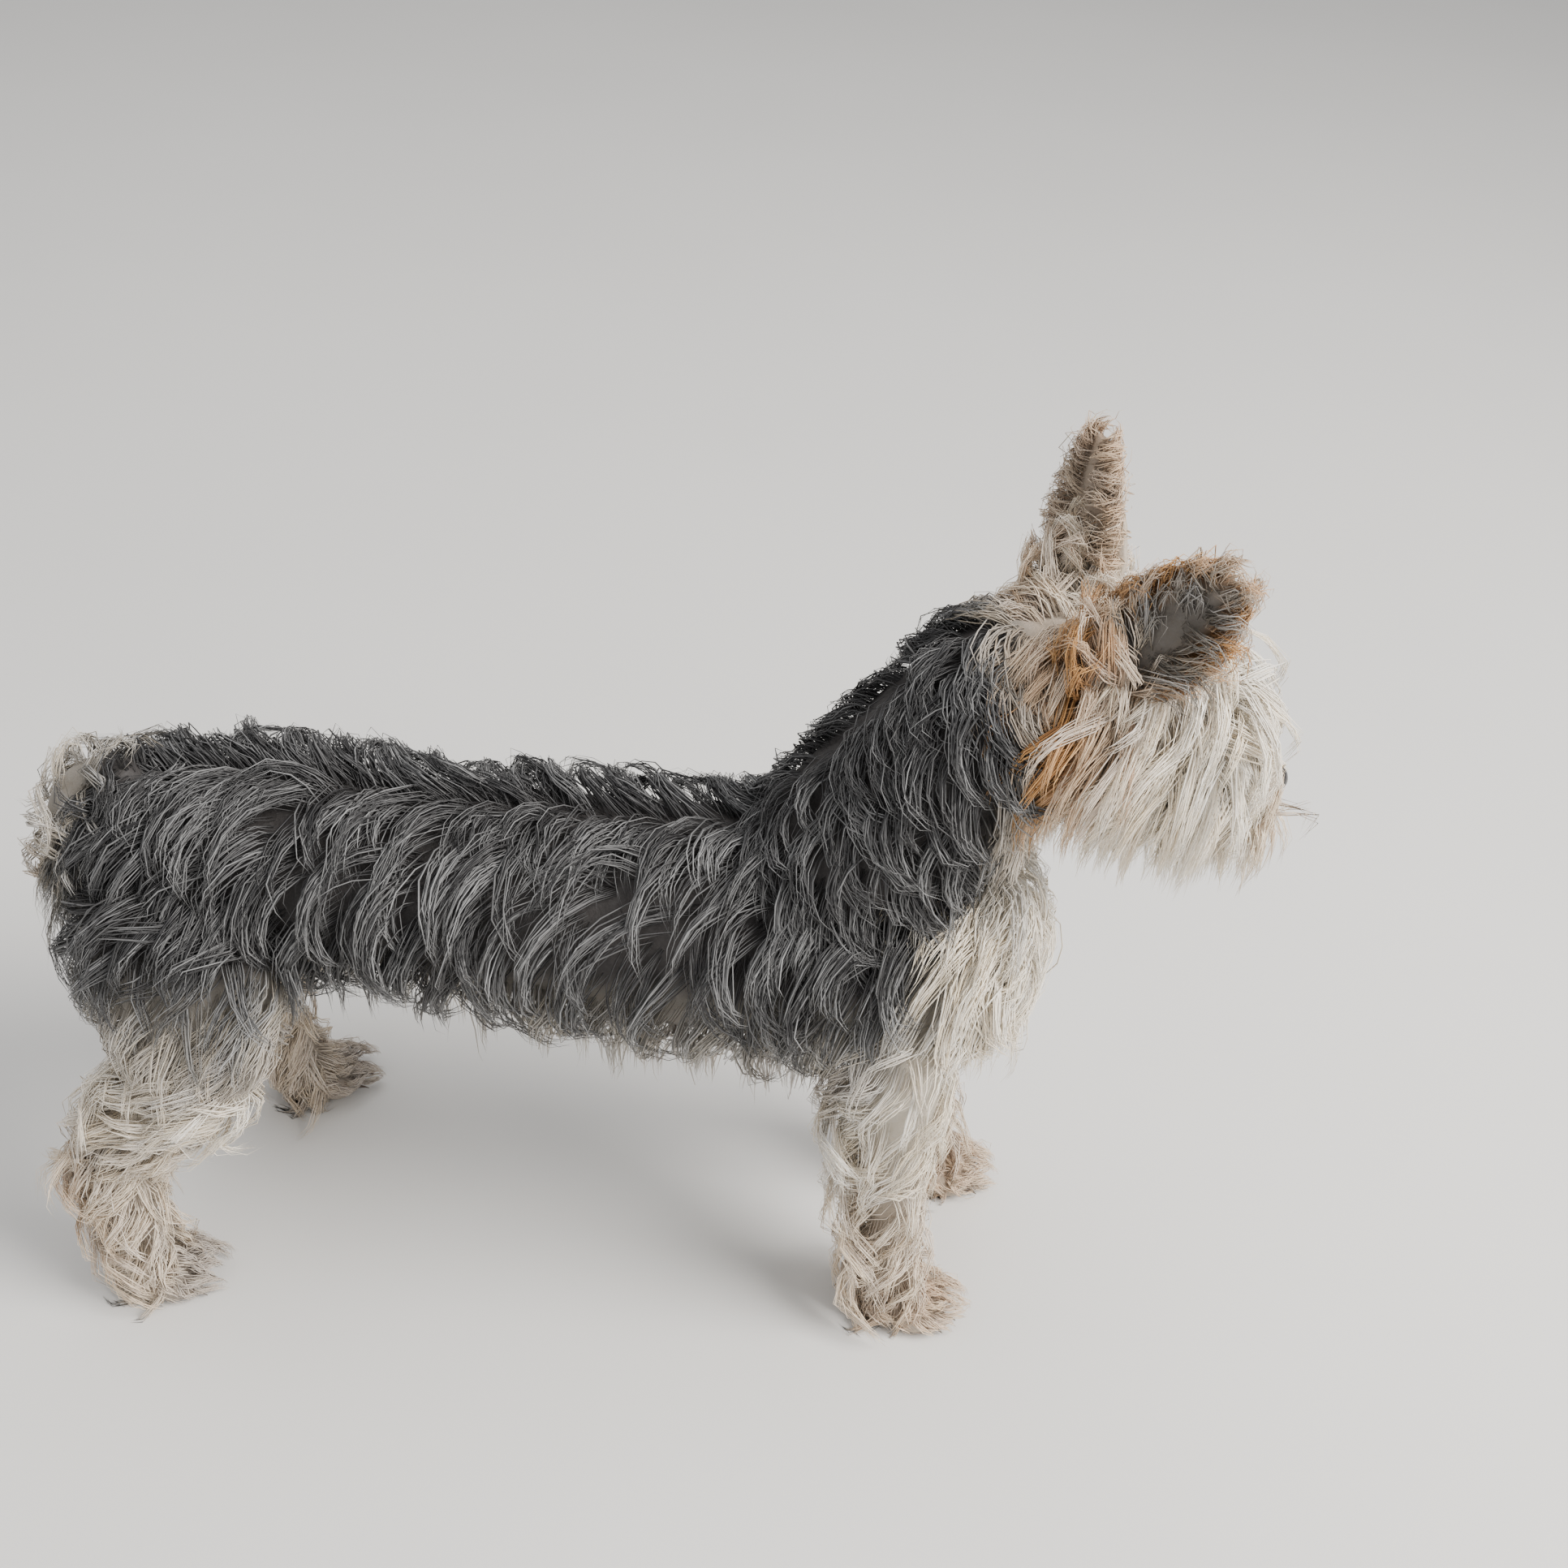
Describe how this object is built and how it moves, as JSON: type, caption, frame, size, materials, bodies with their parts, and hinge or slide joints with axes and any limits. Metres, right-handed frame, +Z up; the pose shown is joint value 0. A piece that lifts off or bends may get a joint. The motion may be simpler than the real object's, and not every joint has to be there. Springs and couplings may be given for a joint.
{
  "type": "yorkshire terrier",
  "caption": "Still life-size model of a standing small terrier with a wavy silky coat, long beard and fringe, upright ears and a short curly tail.",
  "frame": {"origin": "centre of the bounding box in plan, on the floor under the feet", "axes": "+X toward the dog's chest and nose, +Y to the dog's left, +Z up"},
  "size_m": [0.4324, 0.1428, 0.3475],
  "materials": {
    "eye": "wet, very dark brown",
    "nose_leather": "moist black pebbled leather",
    "ear_coat": "short tan hair with dark streaks and cream edges",
    "head_coat": "long cream and golden tan hair",
    "neck_coat": "wavy grey hair",
    "saddle_coat": "wavy steel grey hair with silver ends",
    "tail_coat": "curly grey and cream hair",
    "paw_coat": "short golden cream hair, grey between the toes of the hind feet",
    "leg_coat": "wispy cream hair",
    "thigh_coat": "wavy grey hair fading to cream"
  },
  "bodies": {
    "root": {"eye_right": "eye", "eye_left": "eye", "nose": "nose_leather", "ear_right": "ear_coat", "ear_left": "ear_coat", "head": "head_coat", "neck": "neck_coat", "torso": "saddle_coat", "tail": "tail_coat", "paw_fore_right": "paw_coat", "paw_fore_left": "paw_coat", "paw_hind_right": "paw_coat", "paw_hind_left": "paw_coat", "foreleg_right": "leg_coat", "foreleg_left": "leg_coat", "thigh_right": "thigh_coat", "thigh_left": "thigh_coat", "shank_right": "leg_coat", "shank_left": "leg_coat", "pastern_right": "leg_coat", "pastern_left": "leg_coat"}
  },
  "joints": []
}
